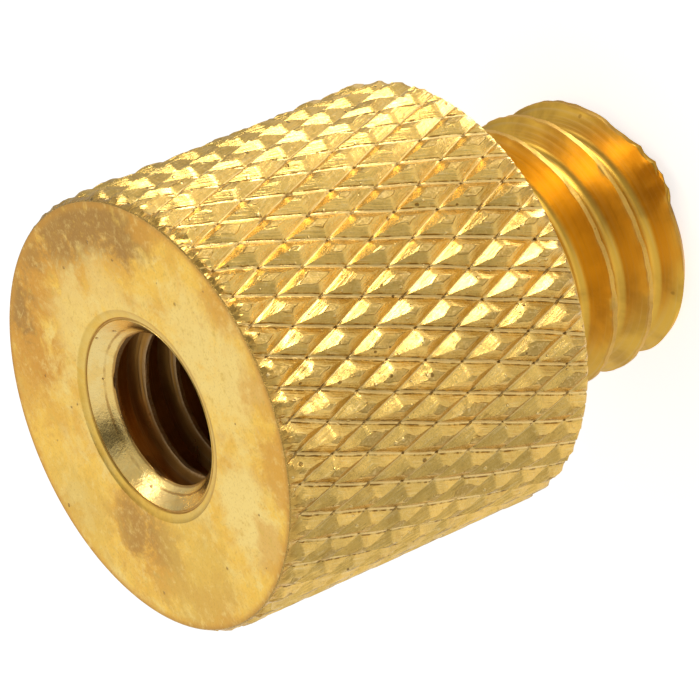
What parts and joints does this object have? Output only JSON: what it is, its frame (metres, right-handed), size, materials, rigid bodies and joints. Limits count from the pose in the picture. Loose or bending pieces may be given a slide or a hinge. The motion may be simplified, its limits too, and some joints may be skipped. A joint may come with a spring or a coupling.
{
  "type": "thread adapter screw",
  "caption": "Short turned brass adapter: a knurled round grip with a countersunk threaded hole in one end and a coarse male thread stud on the other.",
  "frame": {"origin": "on the axis, in the middle of the stud's end face, which the part stands on", "axes": "+Z along the axis from the stud's end to the hole's mouth; -Y is the side from which the threads' turns are measured"},
  "size_m": [0.015, 0.015, 0.0195],
  "materials": {
    "brass": "turned brass, satin on the end face, lightly tarnished"
  },
  "bodies": {
    "root": {"adapter": "brass"}
  },
  "joints": []
}
